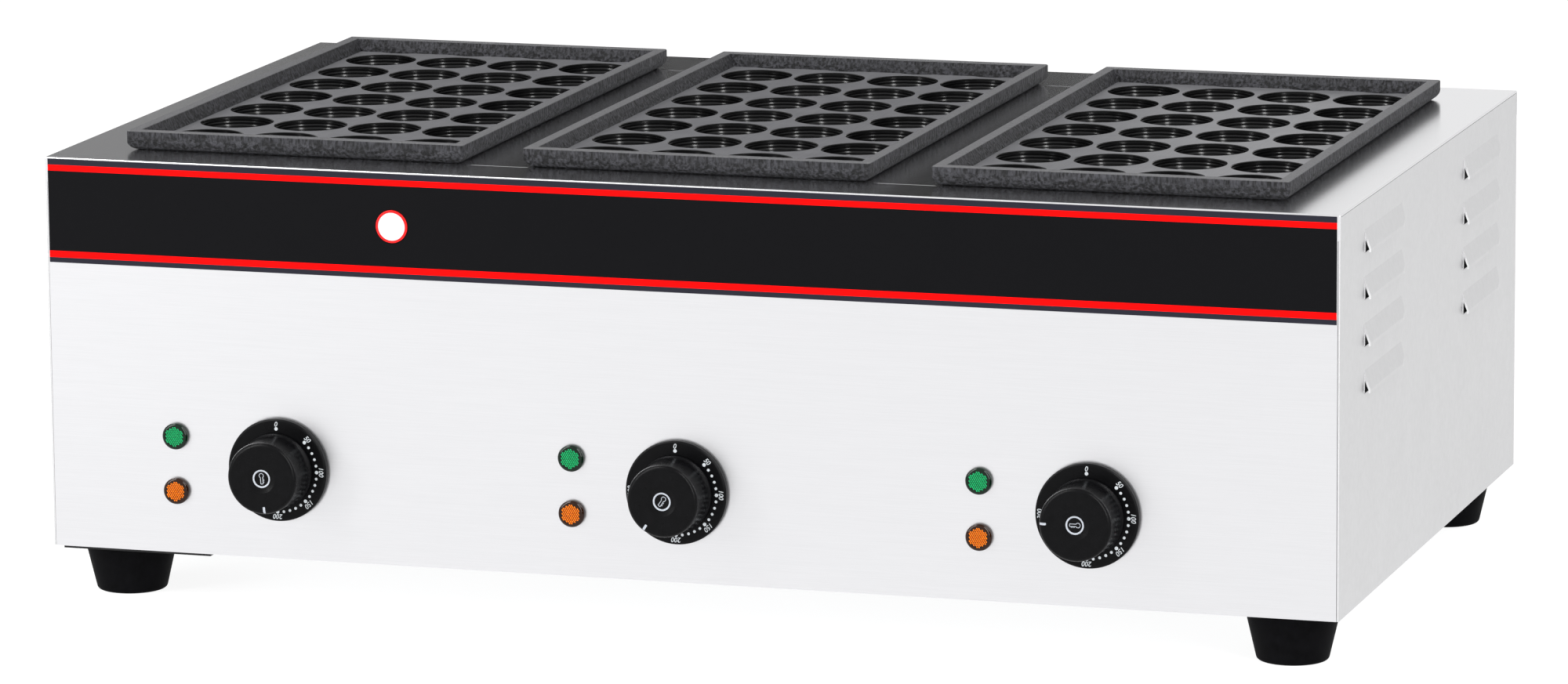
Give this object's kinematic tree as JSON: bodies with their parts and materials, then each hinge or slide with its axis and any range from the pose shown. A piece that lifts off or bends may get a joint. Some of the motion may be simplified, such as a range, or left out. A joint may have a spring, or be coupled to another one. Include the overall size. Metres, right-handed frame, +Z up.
{
  "type": "takoyaki maker",
  "caption": "Stainless countertop takoyaki maker with lift-off cast cup plates, dial thermostats, pilot lamps and louvred sides on rubber feet.",
  "frame": {"origin": "on the table, under the middle of the cabinet's footprint", "axes": "+X to the cook's right, +Y from the dials to the back, +Z up"},
  "size_m": [0.696, 0.459, 0.2436],
  "materials": {
    "stainless": "fine brushed, number 4",
    "cast_plate": "sand cast rim, machined and seasoned cups",
    "heater_sheath": "heat-darkened sheath",
    "plated_sheet": "galvanised, dull",
    "copper": "drawn copper",
    "thermostat_resin": "moulded, matt",
    "black_resin": "moulded, satin",
    "plated_steel": "zinc plated",
    "green_lens": "clear tinted, glossy",
    "amber_lens": "clear tinted, glossy",
    "lamp_resin": "moulded, matt",
    "label_film": "printed film, semi-gloss, two red stripes",
    "brass_stud": "machined",
    "terminal_resin": "unglazed, white",
    "wire_sleeve": "woven glass sleeve",
    "painted_plate": "black, satin",
    "foot_rubber": "matt"
  },
  "bodies": {
    "cabinet": {"top_deck": "stainless", "front_panel": "stainless", "back_panel": "stainless", "bottom_plate": "plated_sheet", "control_label": "label_film", "left_side_panel": "stainless", "right_side_panel": "stainless", "divider_strip_left": "stainless", "divider_strip_right": "stainless", "heating_element_left": "heater_sheath", "heating_element_centre": "heater_sheath", "heating_element_right": "heater_sheath", "heat_tray_left": "plated_sheet", "heat_tray_centre": "plated_sheet", "heat_tray_right": "plated_sheet", "element_rests_left": "plated_sheet", "element_rests_centre": "plated_sheet", "element_rests_right": "plated_sheet", "sensor_bulb_left": "copper", "sensor_bulb_centre": "copper", "sensor_bulb_right": "copper", "thermostat_body_left": "thermostat_resin", "thermostat_body_centre": "thermostat_resin", "thermostat_body_right": "thermostat_resin", "dial_bezel_left": "black_resin", "dial_bezel_centre": "black_resin", "dial_bezel_right": "black_resin", "green_lens_left": "green_lens", "green_lens_centre": "green_lens", "green_lens_right": "green_lens", "amber_lens_left": "amber_lens", "amber_lens_centre": "amber_lens", "amber_lens_right": "amber_lens", "lamp_bodies_left": "lamp_resin", "lamp_bodies_centre": "lamp_resin", "lamp_bodies_right": "lamp_resin", "lamp_clips": "plated_steel", "thermostat_screws": "plated_steel", "cable_gland": "black_resin", "gland_locknut": "black_resin", "earth_stud": "brass_stud", "terminal_block": "terminal_resin", "wiring_loom": "wire_sleeve", "corner_plates": "painted_plate", "rubber_foot_front_left": "foot_rubber", "rubber_foot_front_right": "foot_rubber", "rubber_foot_back_left": "foot_rubber", "rubber_foot_back_right": "foot_rubber", "foot_screws": "plated_steel", "panel_screws": "plated_steel"},
    "plate_left": {"takoyaki_plate_left": "cast_plate"},
    "plate_centre": {"takoyaki_plate_centre": "cast_plate"},
    "plate_right": {"takoyaki_plate_right": "cast_plate"},
    "dial_left": {"control_knob_left": "black_resin", "thermostat_spindle_left": "plated_steel"},
    "dial_centre": {"control_knob_centre": "black_resin", "thermostat_spindle_centre": "plated_steel"},
    "dial_right": {"control_knob_right": "black_resin", "thermostat_spindle_right": "plated_steel"}
  },
  "joints": [
    {"name": "plate_left_lift", "type": "slide", "parent": "cabinet", "child": "plate_left", "axis": [0, 0, 1], "range_m": [0, 0.04]},
    {"name": "plate_centre_lift", "type": "slide", "parent": "cabinet", "child": "plate_centre", "axis": [0, 0, 1], "range_m": [0, 0.04]},
    {"name": "plate_right_lift", "type": "slide", "parent": "cabinet", "child": "plate_right", "axis": [0, 0, 1], "range_m": [0, 0.04]},
    {"name": "dial_left_turn", "type": "hinge", "parent": "cabinet", "child": "dial_left", "pos_m": [-0.218, -0.2025, 0.0748], "axis": [0, 1, 0], "range_deg": [-175, 95]},
    {"name": "dial_centre_turn", "type": "hinge", "parent": "cabinet", "child": "dial_centre", "pos_m": [-0.001, -0.2025, 0.0748], "axis": [0, 1, 0], "range_deg": [-213.5, 56.5]},
    {"name": "dial_right_turn", "type": "hinge", "parent": "cabinet", "child": "dial_right", "pos_m": [0.216, -0.2025, 0.0748], "axis": [0, 1, 0], "range_deg": [-270, 0]}
  ]
}
